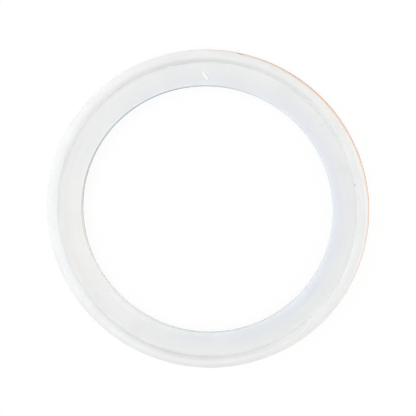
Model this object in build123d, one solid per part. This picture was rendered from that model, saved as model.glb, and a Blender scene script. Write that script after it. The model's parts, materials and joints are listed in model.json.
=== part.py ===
from build123d import *
import os

# Sanitary clamp gasket: a flat ring of moulded silicone with a half-round bead on both faces at
# its rim. Two clamp ferrules squeeze the flat web between them, and each takes one bead in the
# groove of its face, which centres the ring on the tube's bore.
# Frame: the origin is on the bore's axis at mid-thickness, and +Z runs along that axis.
# All lengths are in millimetres and all angles in degrees.

# Ring
bore_diameter = 67.2       # clear bore, flush with the inside of the ferrules
web_width = 6.65           # flat web, from the bore to the foot of the bead
web_thickness = 2.0        # flat web, face to face
bead_radius = 1.5          # half-round bead that seats in the groove of the ferrule
foot_fillet = 0.35         # fillet where the bead stands on the web
bore_edge_radius = 0.15    # small round on both edges of the bore

# Parting line that the mould leaves round the rim, at mid-height
parting_radius = 0.18      # round of its crest
parting_height = 0.08      # how far it stands proud of the rim

# Nick in the upper face of the web: a slit with a V section that runs out at both ends
nick_length = 2.7
nick_width = 0.6
nick_depth = 0.2
nick_inset = 2.9           # from the bore to the middle of the nick
nick_place = 90.7          # round the ring, anticlockwise from +X
nick_slant = 36.0          # turn of the nick away from the radius, anticlockwise

# Worked out from the values above
bore_radius = bore_diameter / 2
half_web = web_thickness / 2
foot_radius = bore_radius + web_width
bead_circle_radius = foot_radius + bead_radius
rim_radius = bead_circle_radius + bead_radius


def ring_section():
    """Section of the ring on one side of the axis, with X as the radius and Y as the height."""
    web = Rectangle(web_width + bead_radius, web_thickness, align=(Align.MIN, Align.CENTER))
    bead = Rectangle(2 * bead_radius, web_thickness)
    for face_height in (half_web, -half_web):
        bead += Pos(Y=face_height) * Circle(bead_radius)
    section = Pos(X=bore_radius) * web + Pos(X=bead_circle_radius) * bead

    slack = bore_edge_radius / 2
    feet = section.vertices().filter_by_position(Axis.X, foot_radius - slack, foot_radius + slack)
    section = fillet(feet, foot_fillet)
    bore_corners = section.vertices().group_by(Axis.X)[0]
    section = fillet(bore_corners, bore_edge_radius)

    parting_line = Pos(X=rim_radius + parting_height - parting_radius) * Circle(parting_radius)
    return section + parting_line


def nick_cutter():
    """Wheel with a V edge that stands across the ring and dips into the web's upper face."""
    wheel_radius = (nick_length**2 / 4 + nick_depth**2) / (2 * nick_depth)
    inner_radius = wheel_radius - 2 * nick_depth
    edge = Polyline(
        (inner_radius, -nick_width), (wheel_radius, 0), (inner_radius, nick_width), close=True
    )
    wheel = revolve(Plane.XZ * make_face(edge), Axis.Z)
    upright = Pos(Z=half_web + wheel_radius - nick_depth) * Rot(Z=nick_slant) * Rot(X=90)
    return Rot(Z=nick_place) * Pos(X=bore_radius + nick_inset) * upright * wheel


gasket_ring = revolve(Plane.XZ * ring_section(), Axis.Z) - nick_cutter()

os.makedirs("parts", exist_ok=True)
export_step(gasket_ring, "parts/gasket_ring.step")
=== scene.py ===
import json
import math
import bpy
from mathutils import Matrix, Vector


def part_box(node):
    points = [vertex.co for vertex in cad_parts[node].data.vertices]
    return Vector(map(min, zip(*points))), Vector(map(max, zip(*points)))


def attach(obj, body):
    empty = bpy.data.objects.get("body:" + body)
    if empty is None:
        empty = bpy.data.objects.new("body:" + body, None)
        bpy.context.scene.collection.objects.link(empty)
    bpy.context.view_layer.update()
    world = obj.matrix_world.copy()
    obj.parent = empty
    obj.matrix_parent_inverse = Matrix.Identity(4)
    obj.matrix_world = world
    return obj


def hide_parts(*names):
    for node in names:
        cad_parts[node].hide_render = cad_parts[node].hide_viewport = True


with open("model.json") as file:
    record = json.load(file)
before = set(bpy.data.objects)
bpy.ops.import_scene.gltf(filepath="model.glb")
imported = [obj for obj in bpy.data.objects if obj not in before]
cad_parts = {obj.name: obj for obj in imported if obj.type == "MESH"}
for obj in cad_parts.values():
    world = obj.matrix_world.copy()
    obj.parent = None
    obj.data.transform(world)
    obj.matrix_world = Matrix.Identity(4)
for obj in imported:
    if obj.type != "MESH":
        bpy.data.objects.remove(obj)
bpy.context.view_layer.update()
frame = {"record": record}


# ---------------------------------------------------------------------------------------------
# Gasket ring. One ring moulded in milky translucent silicone: a flat web, and a half-round bead
# on both faces at the rim. The section is drawn as arcs, turned round the bore's axis, and a
# round V-edged blade then takes the nick out of the upper face.
# ---------------------------------------------------------------------------------------------
MM = 0.001

mounts = {mount["name"]: mount for mount in frame["record"]["mounts"]}
ring_low, ring_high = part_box("gasket_ring")

foot_fillet = 0.35 * MM
bore_edge = 0.15 * MM
parting_radius = 0.18 * MM
parting_height = 0.08 * MM
bore_radius = mounts["flow_bore"]["dims"]["r_mm"] * MM
half_web = mounts["upper_face"]["pos_m"][2]
bead_radius = ring_high[2] - half_web
rim_radius = round(ring_high[0] / MM, 2) * MM - parting_height
bead_circle = rim_radius - bead_radius
foot_circle = bead_circle - bead_radius

nick_length = 2.7 * MM
nick_width = 0.6 * MM
nick_depth = 0.2 * MM
nick_circle = bore_radius + 2.9 * MM
nick_place = 90.7
nick_slant = 36.0


def add_node(tree, kind, inputs=None, **settings):
    """A new node in the tree. inputs gives each socket a value, or links it to another socket."""
    node = tree.nodes.new(kind)
    for name, value in settings.items():
        setattr(node, name, value)
    for key, value in (inputs or {}).items():
        if isinstance(value, bpy.types.NodeSocket):
            tree.links.new(value, node.inputs[key])
        else:
            node.inputs[key].default_value = value
    return node


def maths(tree, operation, *values):
    """The result of one Math node."""
    return add_node(tree, "ShaderNodeMath", dict(enumerate(values)), operation=operation).outputs[0]


def vector(tree, x, y, z=0.0):
    """A vector socket. In the section, x is out from the bead's circle and y is up."""
    return add_node(tree, "ShaderNodeCombineXYZ", {"X": x, "Y": y, "Z": z}).outputs[0]


def ring_tree():
    """The tree that makes the ring from its sizes."""
    tree = bpy.data.node_groups.new("gasket_ring_maker", "GeometryNodeTree")
    sizes = ("Bore Radius", "Bead Circle", "Half Web", "Bead Radius", "Foot Fillet", "Bore Edge",
             "Parting Radius", "Parting Height", "Nick Circle", "Nick Place", "Nick Slant",
             "Nick Length", "Nick Width", "Nick Depth")
    for name in sizes:
        tree.interface.new_socket(name=name, in_out="INPUT", socket_type="NodeSocketFloat")
    tree.interface.new_socket(name="Steps Round", in_out="INPUT", socket_type="NodeSocketInt")
    tree.interface.new_socket(name="Silicone", in_out="INPUT", socket_type="NodeSocketMaterial")
    tree.interface.new_socket(name="Geometry", in_out="OUTPUT", socket_type="NodeSocketGeometry")
    size = add_node(tree, "NodeGroupInput").outputs
    web, bead, fillet = size["Half Web"], size["Bead Radius"], size["Foot Fillet"]
    edge, crest = size["Bore Edge"], size["Parting Radius"]
    quarter = math.pi / 2
    weld = 0.001 * MM
    sharp_bend = math.radians(24)
    numbers_per_run = 100.0

    # where the arcs of the upper half are centred, counted out from the bead's circle
    bore_x = maths(tree, "SUBTRACT", size["Bore Radius"], size["Bead Circle"])
    edge_x = maths(tree, "ADD", bore_x, edge)
    edge_y = maths(tree, "SUBTRACT", web, edge)
    reach = maths(tree, "ADD", bead, fillet)
    fillet_angle = maths(tree, "ARCSINE", maths(tree, "DIVIDE", fillet, reach))
    fillet_run = maths(tree, "MULTIPLY", reach, maths(tree, "COSINE", fillet_angle))
    fillet_x = maths(tree, "MULTIPLY", fillet_run, -1.0)
    fillet_y = maths(tree, "ADD", web, fillet)
    crest_rise = maths(tree, "SUBTRACT", crest, size["Parting Height"])
    crest_x = maths(tree, "SUBTRACT", bead, crest_rise)
    crest_angle = maths(tree, "ARCCOSINE", maths(tree, "DIVIDE", crest_rise, crest))
    fillet_sweep = maths(tree, "SUBTRACT", quarter, fillet_angle)
    bead_start = maths(tree, "SUBTRACT", math.pi, fillet_angle)
    bead_sweep = maths(tree, "MULTIPLY", bead_start, -1.0)
    crest_sweep = maths(tree, "MULTIPLY", crest_angle, -1.0)

    arcs = (
        # centre x, centre y, radius, start, sweep, points
        (edge_x, edge_y, edge, math.pi, -quarter, 6),
        (fillet_x, fillet_y, fillet, -quarter, fillet_sweep, 9),
        (0.0, web, bead, bead_start, bead_sweep, 30),
        (crest_x, 0.0, crest, crest_angle, crest_sweep, 5),
    )
    runs = []
    for centre_x, centre_y, radius, start, sweep, points in arcs:
        arc = add_node(tree, "GeometryNodeCurveArc", {
            "Radius": radius, "Start Angle": start, "Sweep Angle": sweep, "Resolution": points,
        }, mode="RADIUS")
        moved = add_node(tree, "GeometryNodeTransform", {
            "Geometry": arc.outputs["Curve"],
            "Translation": vector(tree, centre_x, centre_y),
        })
        runs.append(moved.outputs[0])

    # the flat of the web is a row of points between the bore's edge and the foot of the bead
    flat = add_node(tree, "GeometryNodeCurvePrimitiveLine", {
        "Start": vector(tree, edge_x, web), "End": vector(tree, fillet_x, web),
    })
    rows = add_node(tree, "GeometryNodeResampleCurve", {
        "Curve": flat.outputs["Curve"], "Count": 14,
    }, mode="COUNT")
    runs.insert(1, rows.outputs[0])

    # the upper half runs from bore to rim, and the lower half is its mirror image, run backwards
    join = tree.nodes.new("GeometryNodeJoinGeometry")
    position = add_node(tree, "GeometryNodeInputPosition").outputs[0]
    index = add_node(tree, "GeometryNodeInputIndex").outputs[0]
    for number, run in enumerate(runs, start=1):
        points = add_node(tree, "GeometryNodeCurveToPoints", {"Curve": run}, mode="EVALUATED")
        order = maths(tree, "ADD", index, numbers_per_run * number)
        for side in (1, -1):
            mirrored = add_node(tree, "ShaderNodeVectorMath", {
                0: position, 1: (1.0, side, 1.0),
            }, operation="MULTIPLY")
            placed = add_node(tree, "GeometryNodeSetPosition", {
                "Geometry": points.outputs["Points"], "Position": mirrored.outputs[0],
            })
            numbered = add_node(tree, "GeometryNodeStoreNamedAttribute", {
                "Geometry": placed.outputs[0], "Name": "order",
                "Value": maths(tree, "MULTIPLY", order, float(side)),
            }, data_type="FLOAT", domain="POINT")
            tree.links.new(numbered.outputs[0], join.inputs[0])
    order = add_node(tree, "GeometryNodeInputNamedAttribute", {"Name": "order"}, data_type="FLOAT")
    outline = add_node(tree, "GeometryNodePointsToCurves", {
        "Points": join.outputs[0], "Weight": order.outputs["Attribute"],
    })
    section = add_node(tree, "GeometryNodeSetSplineCyclic", {
        "Geometry": outline.outputs[0], "Cyclic": True,
    })
    path = add_node(tree, "GeometryNodeCurvePrimitiveCircle", {
        "Resolution": size["Steps Round"], "Radius": size["Bead Circle"],
    }, mode="RADIUS")
    swept = add_node(tree, "GeometryNodeCurveToMesh", {
        "Curve": path.outputs["Curve"], "Profile Curve": section.outputs[0],
    })
    ring = add_node(tree, "GeometryNodeMergeByDistance", {
        "Geometry": swept.outputs[0], "Distance": weld,
    })

    # the blade that takes out the nick: a large wheel with a V edge, standing in the web
    half_nick = maths(tree, "MULTIPLY", size["Nick Length"], 0.5)
    chord = maths(tree, "MULTIPLY", half_nick, half_nick)
    dip = maths(tree, "MULTIPLY", size["Nick Depth"], size["Nick Depth"])
    blade_radius = maths(tree, "DIVIDE", maths(tree, "ADD", chord, dip),
                         maths(tree, "MULTIPLY", size["Nick Depth"], 2.0))
    taper = maths(tree, "DIVIDE", maths(tree, "MULTIPLY", size["Nick Width"], 0.5),
                  size["Nick Depth"])
    cheek = add_node(tree, "GeometryNodeMeshCone", {
        "Vertices": 256, "Radius Top": 0.0, "Radius Bottom": blade_radius,
        "Depth": maths(tree, "MULTIPLY", blade_radius, taper),
    }, fill_type="NONE")
    mirrored = add_node(tree, "GeometryNodeTransform", {
        "Geometry": cheek.outputs["Mesh"], "Scale": (1.0, 1.0, -1.0),
    })
    turned = add_node(tree, "GeometryNodeFlipFaces", {"Mesh": mirrored.outputs[0]})
    cheeks = tree.nodes.new("GeometryNodeJoinGeometry")
    tree.links.new(cheek.outputs["Mesh"], cheeks.inputs[0])
    tree.links.new(turned.outputs[0], cheeks.inputs[0])
    blade = add_node(tree, "GeometryNodeMergeByDistance", {
        "Geometry": cheeks.outputs[0], "Distance": weld,
    })
    lift = maths(tree, "ADD", web, maths(tree, "SUBTRACT", blade_radius, size["Nick Depth"]))
    stood = add_node(tree, "GeometryNodeTransform", {
        "Geometry": blade.outputs[0],
        "Rotation": vector(tree, quarter, 0.0, size["Nick Slant"]),
        "Translation": vector(tree, size["Nick Circle"], 0.0, lift),
    })
    carried = add_node(tree, "GeometryNodeTransform", {
        "Geometry": stood.outputs[0], "Rotation": vector(tree, 0.0, 0.0, size["Nick Place"]),
    })
    cut = add_node(tree, "GeometryNodeMeshBoolean", {
        "Mesh 1": ring.outputs[0], "Mesh 2": carried.outputs[0],
    }, operation="DIFFERENCE", solver="EXACT")

    # moulded surfaces are smooth, and only the nick has sharp edges
    bend = add_node(tree, "GeometryNodeInputMeshEdgeAngle")
    soft_bend = add_node(tree, "FunctionNodeCompare", {
        "A": bend.outputs["Unsigned Angle"], "B": sharp_bend,
    }, data_type="FLOAT", operation="LESS_THAN")
    smooth_faces = add_node(tree, "GeometryNodeSetShadeSmooth", {
        "Geometry": cut.outputs["Mesh"],
    }, domain="FACE")
    smooth_edges = add_node(tree, "GeometryNodeSetShadeSmooth", {
        "Geometry": smooth_faces.outputs[0], "Shade Smooth": soft_bend.outputs[0],
    }, domain="EDGE")
    realized = add_node(tree, "GeometryNodeRealizeInstances", {
        "Geometry": smooth_edges.outputs[0],
    })
    finished = add_node(tree, "GeometryNodeSetMaterial", {
        "Geometry": realized.outputs[0], "Material": size["Silicone"],
    })
    add_node(tree, "NodeGroupOutput", {"Geometry": finished.outputs[0]})
    return tree


def ease(tree, value, start, end, first=0.0, last=1.0):
    """A clamped slope from one share to another between two readings of a value."""
    return add_node(tree, "ShaderNodeMapRange", {
        "Value": value, "From Min": start, "From Max": end, "To Min": first, "To Max": last,
    }, clamp=True).outputs[0]


def band(tree, value, middle, half_width, share=1.0):
    """A share that is full at one reading of a value and fades out on both sides of it."""
    distance = maths(tree, "ABSOLUTE", maths(tree, "SUBTRACT", value, middle))
    return ease(tree, distance, 0.0, half_width, share, 0.0)


def blend_colour(tree, below, above, share):
    """One colour over another, by a mask or a plain share."""
    mix = add_node(tree, "ShaderNodeMix", data_type="RGBA")
    for key, value in (("Factor", share), ("A", below), ("B", above)):
        socket = next(i for i in mix.inputs if i.name == key and i.enabled)
        if isinstance(value, bpy.types.NodeSocket):
            tree.links.new(value, socket)
        else:
            socket.default_value = value
    return next(o for o in mix.outputs if o.enabled)


def skin_readings(tree):
    """Where a point of the skin lies: its place, its distance from the axis, and x, y and z."""
    place = add_node(tree, "ShaderNodeTexCoord").outputs["Object"]
    along, aside, height = add_node(tree, "ShaderNodeSeparateXYZ", {"Vector": place}).outputs
    flat_place = add_node(tree, "ShaderNodeVectorMath", {
        0: place, 1: (1.0, 1.0, 0.0),
    }, operation="MULTIPLY").outputs[0]
    radius = add_node(tree, "ShaderNodeVectorMath", {0: flat_place}, operation="LENGTH")
    return place, radius.outputs["Value"], along, aside, height


def milk_ramp(tree, across, stops):
    """A colour ramp from the bore to the circle of the bead's crest."""
    ramp = add_node(tree, "ShaderNodeValToRGB", {"Fac": across})
    elements = ramp.color_ramp.elements
    elements[0].color, elements[-1].color = (*stops[0][1], 1.0), (*stops[-1][1], 1.0)
    for share, shade in stops[1:-1]:
        elements.new(share).color = (*shade, 1.0)
    return ramp.outputs["Color"]


def milk_colour(tree, radius, along, aside, left_light_share):
    """The milk's colour: thin and bluish at the bore, with painted shade at the bore and on the
    bead, and painted light at the foot of the bead.
    """
    across = ease(tree, radius, bore_radius, bead_circle)
    # the ramp is painted lighter at the foot of the bead, and darker at the bore and on the bead
    milk_with_painted_light = milk_ramp(tree, across, (
        (0.0, (0.74, 0.76, 0.78)), (0.3, (0.78, 0.79, 0.81)), (0.6, (0.82, 0.83, 0.83)),
        (0.8, (0.87, 0.87, 0.87)), (0.9, (0.79, 0.80, 0.80)), (1.0, (0.78, 0.78, 0.77)),
    ))
    # painted light: it is warmer and lighter on the left of the ring, where the light falls
    left_milk_with_painted_light = milk_ramp(tree, across, (
        (0.0, (0.81, 0.80, 0.78)), (0.3, (0.85, 0.85, 0.84)), (0.6, (0.85, 0.84, 0.83)),
        (0.8, (0.88, 0.89, 0.89)), (0.9, (0.83, 0.84, 0.85)), (1.0, (0.82, 0.83, 0.83)),
    ))
    milk = blend_colour(tree, milk_with_painted_light, left_milk_with_painted_light, left_light_share)

    # and painted bluish light along the right of the bore, where the light comes in
    no_tint, painted_blue_light = (1.0, 1.0, 1.0, 1.0), (0.97, 1.00, 1.03, 1.0)
    blue_side = maths(tree, "SUBTRACT", along, maths(tree, "MULTIPLY", aside, 0.3))
    painted_blue_share = maths(tree, "MULTIPLY", ease(tree, blue_side, 0.0, bore_radius),
                       ease(tree, across, 0.0, 0.45, 1.0, 0.0))
    tint = blend_colour(tree, no_tint, painted_blue_light, painted_blue_share)
    tinted = add_node(tree, "ShaderNodeVectorMath", {0: milk, 1: tint}, operation="MULTIPLY")
    return tinted.outputs[0]


def skin_shade(tree, place, radius, along, aside, left_light_share):
    """A factor on the milk's colour for its clouds and streaks, with painted shade in the fold and
    painted light at the foot and on the bead's outer slope.
    """
    milk_lightness = 0.96

    # faint clouds, and fainter streaks that run round the ring
    clouds = add_node(tree, "ShaderNodeTexNoise", {
        "Vector": place, "Scale": 110.0, "Detail": 3.0, "Roughness": 0.55,
    })
    streak_place = vector(tree, maths(tree, "MULTIPLY", radius, 2500.0),
                          maths(tree, "MULTIPLY", maths(tree, "ARCTAN2", aside, along), 2.0))
    streaks = add_node(tree, "ShaderNodeTexNoise", {
        "Vector": streak_place, "Scale": 1.0, "Detail": 1.0, "Roughness": 0.5,
    })

    # painted shade in the fold at the foot of the bead, darker at the top and the bottom of the ring
    fold_shade_circle = maths(tree, "SUBTRACT", foot_circle + 0.50 * MM,
                        ease(tree, aside, 0.0, -bead_circle, 0.0, 0.35 * MM))
    fold_shade_places = ease(tree, maths(tree, "ABSOLUTE", aside), 0.6 * bead_circle, bead_circle)
    fold_shade_depth = ease(tree, aside, -bead_circle, bead_circle, 0.10, 0.09)
    painted_fold_shade = maths(tree, "MULTIPLY", band(tree, radius, fold_shade_circle, 0.95 * MM),
                 maths(tree, "MULTIPLY", fold_shade_places, fold_shade_depth))

    # painted light at the foot of the bead on the right of the ring, where the fold hardly shows
    painted_foot_light = maths(tree, "MULTIPLY", band(tree, radius, foot_circle, 0.40 * MM, 0.06),
                   ease(tree, along, -0.2 * bead_circle, 0.5 * bead_circle))

    # painted light on the outer slope of the bead, all round but on the left
    painted_slope_light = ease(tree, radius, bead_circle + bead_radius * 0.35,
                       bead_circle + bead_radius * 0.7, 0.0, 0.04)
    painted_slope_light = maths(tree, "MULTIPLY", painted_slope_light, maths(tree, "SUBTRACT", 1.0, left_light_share))

    shade = milk_lightness
    for factor in (
        ease(tree, clouds.outputs["Fac"], 0.3, 0.7, 0.98, 1.02),
        ease(tree, streaks.outputs["Fac"], 0.3, 0.7, 0.988, 1.012),
        maths(tree, "SUBTRACT", 1.0, painted_fold_shade),
        maths(tree, "ADD", 1.0, painted_foot_light),
        maths(tree, "ADD", 1.0, painted_slope_light),
    ):
        shade = maths(tree, "MULTIPLY", factor, shade)
    return shade


def with_painted_rim_light(tree, colour, radius, along, aside, height):
    """Painted light on the rim over the milk: grey-white on most of it, full white at the bottom,
    and amber on the shaded right, the colour of light that has crossed the ring.
    """
    grey_white, full_white = (0.80, 0.805, 0.805, 1.0), (1.0, 0.99, 0.98, 1.0)
    painted_amber_light = (0.72, 0.45, 0.29, 1.0)
    at_rim = ease(tree, radius, bead_circle + bead_radius * 0.7, bead_circle + bead_radius * 0.93)
    low_on_wall = ease(tree, maths(tree, "ABSOLUTE", height), half_web, half_web * 2.0, 1.0, 0.3)
    painted_white_rim = blend_colour(tree, grey_white, full_white,
                             ease(tree, aside, -0.4 * bead_circle, -bead_circle))

    # the painted amber light lies mostly above the parting line
    rightward = ease(tree, maths(tree, "ADD", along, maths(tree, "MULTIPLY", aside, 0.2)),
                     0.1 * bead_circle, 0.85 * bead_circle)
    upper_wall = ease(tree, height, -0.7 * half_web, 0.0, 0.25, 1.0)
    painted_rim_colour = blend_colour(tree, painted_white_rim, painted_amber_light,
                              maths(tree, "MULTIPLY", rightward, upper_wall))
    return blend_colour(tree, colour, painted_rim_colour, maths(tree, "MULTIPLY", at_rim, low_on_wall))


def with_painted_bore_shadow(tree, colour, radius, along, aside):
    """Painted shadow at the edge of the bore over the milk: a little grey, and dark at the upper
    left.
    """
    warm_shadow, cold_shadow = (0.36, 0.35, 0.28, 1.0), (0.26, 0.34, 0.38, 1.0)
    at_bore = ease(tree, radius, bore_radius + 0.22 * MM, bore_radius + 0.50 * MM, 1.0, 0.0)
    upper_left = maths(tree, "SUBTRACT", maths(tree, "MULTIPLY", aside, 1.2), along)
    bore_shadow_share = ease(tree, upper_left, 0.3 * bore_radius, 1.6 * bore_radius, 0.15, 0.85)
    bore_shadow_colour = blend_colour(tree, warm_shadow, cold_shadow,
                               ease(tree, aside, 0.0, 0.8 * bore_radius))
    return blend_colour(tree, colour, bore_shadow_colour, maths(tree, "MULTIPLY", at_bore, bore_shadow_share))


def with_mark(tree, colour, place, out, bearing, turn, length, width, share, paint):
    """An oval mark level with the upper face, over the colour, placed by radius and bearing."""
    bearing = math.radians(bearing)
    moved = add_node(tree, "ShaderNodeMapping", {
        "Vector": place,
        "Location": (out * math.cos(bearing), out * math.sin(bearing), half_web),
        "Rotation": (0.0, 0.0, bearing + math.radians(turn)),
        "Scale": (length / 2, width / 2, half_web * 0.9),
    }, vector_type="TEXTURE")
    reach = add_node(tree, "ShaderNodeVectorMath", {0: moved.outputs[0]}, operation="LENGTH")
    inside = ease(tree, reach.outputs["Value"], 0.75, 1.0, share, 0.0)
    return blend_colour(tree, colour, (*paint, 1.0), inside)


def silicone_finish():
    """Milky silicone with a satin skin, painted light and shade, and the marks that it has got."""
    material = bpy.data.materials.new("milky_silicone")
    material.use_nodes = True
    tree = material.node_tree
    tree.nodes.clear()
    place, radius, along, aside, height = skin_readings(tree)
    # the share of the left of the ring, where light is painted into the milk
    left_light_share = ease(tree, maths(tree, "ADD", along, maths(tree, "MULTIPLY", aside, 0.21)),
                    -0.2 * bead_circle, -1.0 * bead_circle)

    shaded = add_node(tree, "ShaderNodeVectorMath", {
        0: milk_colour(tree, radius, along, aside, left_light_share),
        "Scale": skin_shade(tree, place, radius, along, aside, left_light_share),
    }, operation="SCALE")
    colour = with_painted_rim_light(tree, shaded.outputs[0], radius, along, aside, height)
    colour = with_painted_bore_shadow(tree, colour, radius, along, aside)

    # a painted highlight lies on the cut faces of the nick, with a painted shade beside them, and a
    # faint hairline, a speck and a brown spot show in the silicone
    marks = (
        # radius, bearing, turn, length, width, share, colour
        # painted shade beside the nick
        (nick_circle + 0.10 * MM, nick_place - 0.75, nick_slant, nick_length * 0.9, 0.5 * MM, 0.40,
         (0.58, 0.62, 0.66)),
        # painted highlight on the cut faces of the nick
        (nick_circle, nick_place, nick_slant, nick_length * 1.05, nick_width * 1.1, 1.0,
         (1.0, 1.0, 0.93)),
        (38.8 * MM, 37.9, -3.0, 3.2 * MM, 0.32 * MM, 0.14, (0.35, 0.33, 0.30)),
        (40.2 * MM, 11.1, 20.0, 0.55 * MM, 0.50 * MM, 0.32, (0.25, 0.20, 0.16)),
        (43.3 * MM, 78.2, 90.0, 2.6 * MM, 0.40 * MM, 0.70, (0.30, 0.18, 0.10)),
    )
    for mark in marks:
        colour = with_mark(tree, colour, place, *mark)

    grain = add_node(tree, "ShaderNodeTexNoise", {
        "Vector": place, "Scale": 900.0, "Detail": 2.0, "Roughness": 0.5,
    })
    bump = add_node(tree, "ShaderNodeBump", {
        "Strength": 0.12, "Distance": 0.2 * MM, "Height": grain.outputs["Fac"],
    })
    skin = add_node(tree, "ShaderNodeBsdfPrincipled", {
        "Base Color": colour, "Roughness": 0.42, "IOR": 1.41,
        "Subsurface Weight": 1.0, "Subsurface Radius": (1.0, 1.0, 1.0),
        "Subsurface Scale": 2.6 * MM, "Normal": bump.outputs["Normal"],
    }, subsurface_method="RANDOM_WALK")
    add_node(tree, "ShaderNodeOutputMaterial", {"Surface": skin.outputs[0]})
    return material


silicone = silicone_finish()
tree = ring_tree()
maker = bpy.data.objects.new("gasket_maker", bpy.data.meshes.new("gasket_seed"))
bpy.context.scene.collection.objects.link(maker)
modifier = maker.modifiers.new("ring", "NODES")
modifier.node_group = tree
ring_sizes = {
    "Bore Radius": bore_radius, "Bead Circle": bead_circle, "Half Web": half_web,
    "Bead Radius": bead_radius, "Foot Fillet": foot_fillet, "Bore Edge": bore_edge,
    "Parting Radius": parting_radius, "Parting Height": parting_height,
    "Nick Circle": nick_circle, "Nick Place": math.radians(nick_place),
    "Nick Slant": math.radians(nick_slant),
    "Nick Length": nick_length, "Nick Width": nick_width, "Nick Depth": nick_depth,
    "Steps Round": 600, "Silicone": silicone,
}
for socket in tree.interface.items_tree:
    if socket.in_out == "INPUT":
        modifier[socket.identifier] = ring_sizes[socket.name]
made = maker.evaluated_get(bpy.context.evaluated_depsgraph_get())
ring_mesh = bpy.data.meshes.new_from_object(made)
ring_mesh.materials.clear()
ring_mesh.materials.append(silicone)
ring_mesh.polygons.foreach_set("material_index", [0] * len(ring_mesh.polygons))
bpy.data.objects.remove(maker)
gasket = bpy.data.objects.new("moulded_ring", ring_mesh)
bpy.context.scene.collection.objects.link(gasket)
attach(gasket, "root")
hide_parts("gasket_ring")


# ---------------------------------------------------------------------------------------------
# Bench and world. A plain white sheet under the ring, wide enough for every view. It shows white
# to the camera, and keeps the soft shadow that the ring leaves on it. The world is full white to
# the camera, and dimmer as a light.
# ---------------------------------------------------------------------------------------------
def bench_finish():
    """White paper, most of which shows at full white."""
    full_white_share = 0.90
    material = bpy.data.materials.new("white_bench")
    material.use_nodes = True
    tree = material.node_tree
    tree.nodes.clear()
    paper = add_node(tree, "ShaderNodeBsdfDiffuse", {"Color": (0.98, 0.98, 0.98, 1.0)})
    white = add_node(tree, "ShaderNodeEmission", {"Color": (1.0, 1.0, 1.0, 1.0), "Strength": 1.0})
    rays = add_node(tree, "ShaderNodeLightPath").outputs
    seen = maths(tree, "MAXIMUM", rays["Is Camera Ray"],
                 maths(tree, "MAXIMUM", rays["Is Glossy Ray"], rays["Is Transmission Ray"]))
    share = maths(tree, "MULTIPLY", seen, full_white_share)
    mix = add_node(tree, "ShaderNodeMixShader", {0: share, 1: paper.outputs[0], 2: white.outputs[0]})
    add_node(tree, "ShaderNodeOutputMaterial", {"Surface": mix.outputs[0]})
    return material


bench_half = 3.0
bench_mesh = bpy.data.meshes.new("bench")
bench_mesh.from_pydata([(x, y, ring_low[2]) for x, y in (
    (-bench_half, -bench_half), (bench_half, -bench_half),
    (bench_half, bench_half), (-bench_half, bench_half))], [], [(0, 1, 2, 3)])
bench_mesh.materials.append(bench_finish())
bench = bpy.data.objects.new("bench", bench_mesh)
bpy.context.scene.collection.objects.link(bench)

world_light = 0.71
world = bpy.data.worlds.new("studio")
world.use_nodes = True
bpy.context.scene.world = world
world.node_tree.nodes.clear()
rays = add_node(world.node_tree, "ShaderNodeLightPath").outputs
glow = add_node(world.node_tree, "ShaderNodeBackground", {"Color": (1.0, 1.0, 1.0, 1.0)})
strength = add_node(world.node_tree, "ShaderNodeMapRange", {
    "Value": rays["Is Camera Ray"], "To Min": world_light, "To Max": 1.0,
})
world.node_tree.links.new(strength.outputs[0], glow.inputs["Strength"])
add_node(world.node_tree, "ShaderNodeOutputWorld", {"Surface": glow.outputs[0]})


# ---------------------------------------------------------------------------------------------
# Lamps. Softboxes low on the left and on the right, one higher at the upper left, and one
# overhead, so that the ring is lit almost evenly all round.
# ---------------------------------------------------------------------------------------------
lamp_distance = 0.45
lamp_side = 0.30


def softbox(name, bearing, height, power):
    """A square soft white lamp that faces the ring, placed by bearing and height in degrees."""
    lamp = bpy.data.lights.new(name, "AREA")
    lamp.size = lamp_side
    lamp.energy = power
    bearing, height = math.radians(bearing), math.radians(height)
    towards = Vector((math.cos(height) * math.cos(bearing),
                      math.cos(height) * math.sin(bearing), math.sin(height)))
    box = bpy.data.objects.new(name, lamp)
    bpy.context.scene.collection.objects.link(box)
    box.location = towards * lamp_distance
    box.rotation_mode = "QUATERNION"
    box.rotation_quaternion = towards.to_track_quat("Z", "Y")
    box.visible_camera = False


softbox("left_softbox", 180, 25, 0.30)
softbox("upper_left_softbox", 135, 50, 0.33)
softbox("right_softbox", 0, 25, 0.43)
softbox("top_softbox", 0, 89, 0.29)


# ---------------------------------------------------------------------------------------------
# Camera. Nearly overhead, leaning a little to the upper right, with a long lens.
# ---------------------------------------------------------------------------------------------
lean = math.radians(11.6)
lean_towards = math.radians(67)
stand_off = 0.5
field_width = 111.55 * MM
aim = Vector((0.225, 0.74, 0.0)) * MM

camera_data = bpy.data.cameras.new("camera")
camera_data.sensor_width = 36.0
camera_data.lens = camera_data.sensor_width * stand_off / field_width
camera = bpy.data.objects.new("camera", camera_data)
bpy.context.scene.collection.objects.link(camera)
bpy.context.scene.camera = camera
back = Vector((math.sin(lean) * math.cos(lean_towards),
               math.sin(lean) * math.sin(lean_towards), math.cos(lean)))
up = (Vector((0.0, 1.0, 0.0)) - back * back.y).normalized()
turn = Matrix((up.cross(back), up, back)).transposed()
camera.matrix_world = Matrix.Translation(aim + back * stand_off) @ turn.to_4x4()

bpy.context.scene.view_settings.view_transform = "Standard"
bpy.context.scene.cycles.filter_width = 1.0
